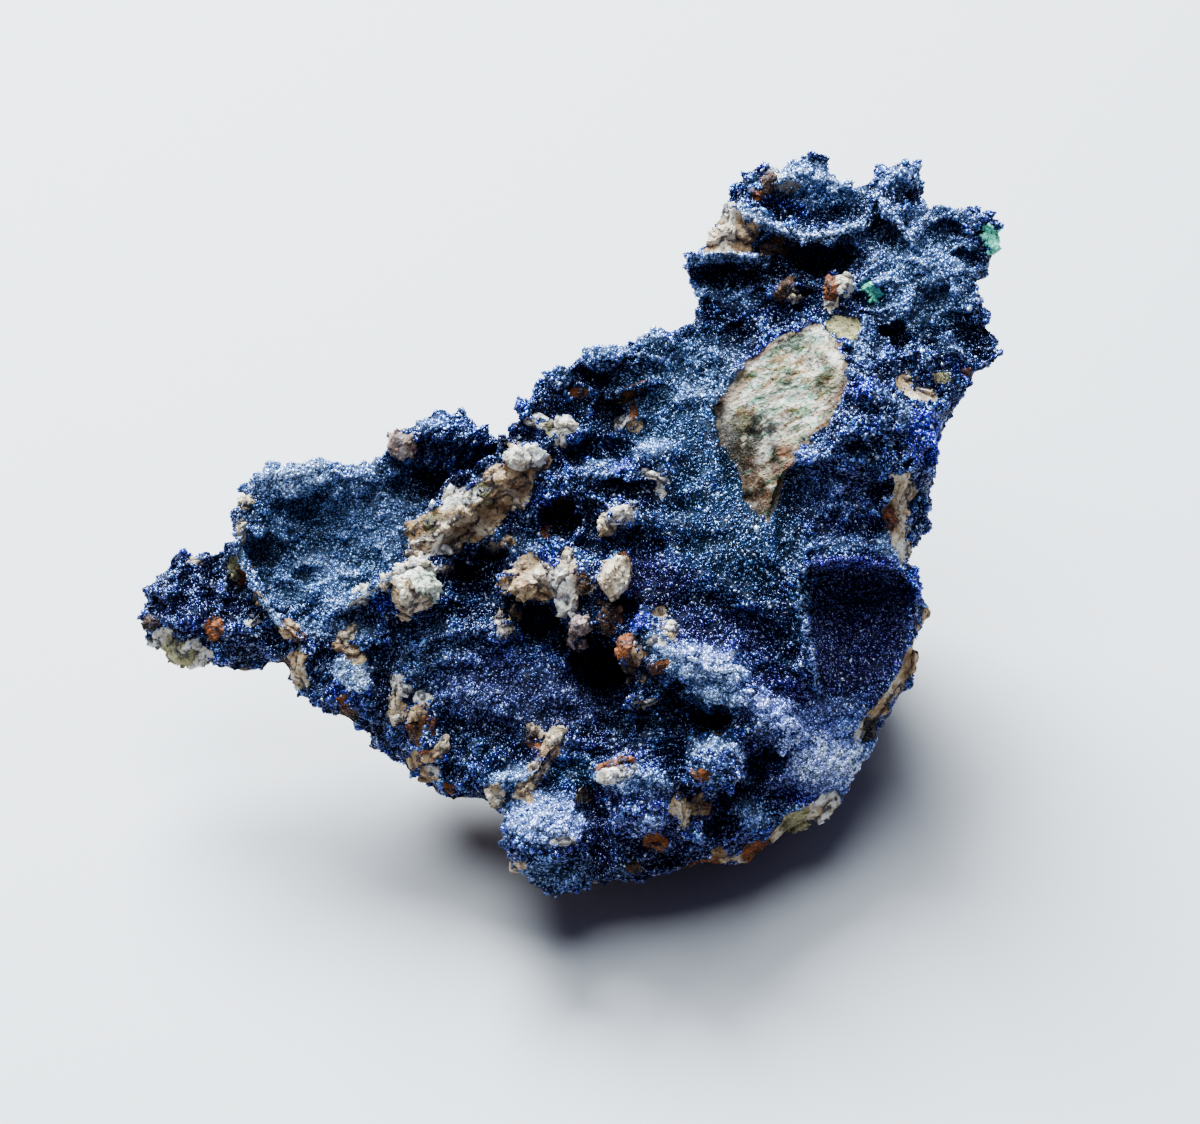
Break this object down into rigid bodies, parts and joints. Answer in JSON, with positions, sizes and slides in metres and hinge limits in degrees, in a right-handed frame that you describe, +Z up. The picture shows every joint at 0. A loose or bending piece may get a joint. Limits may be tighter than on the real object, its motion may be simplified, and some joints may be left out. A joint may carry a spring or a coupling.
{
  "type": "azurite specimen",
  "caption": "Rough hand-sized mineral specimen: sparkling dark blue azurite crystals over pale host rock, with lumps, ledges and hollows, and a flat underside to rest on.",
  "frame": {"origin": "on the plane it rests on, under the middle of its bounding box", "axes": "+Z up; the crystal face climbs from low in front (-Y) to high at the back (+Y); the free end points to -X"},
  "size_m": [0.0866, 0.0628, 0.0512],
  "materials": {
    "azurite": "satin",
    "host_rock": "matte",
    "malachite": "satin"
  },
  "bodies": {
    "root": {"azurite_specimen": "azurite"}
  },
  "joints": []
}
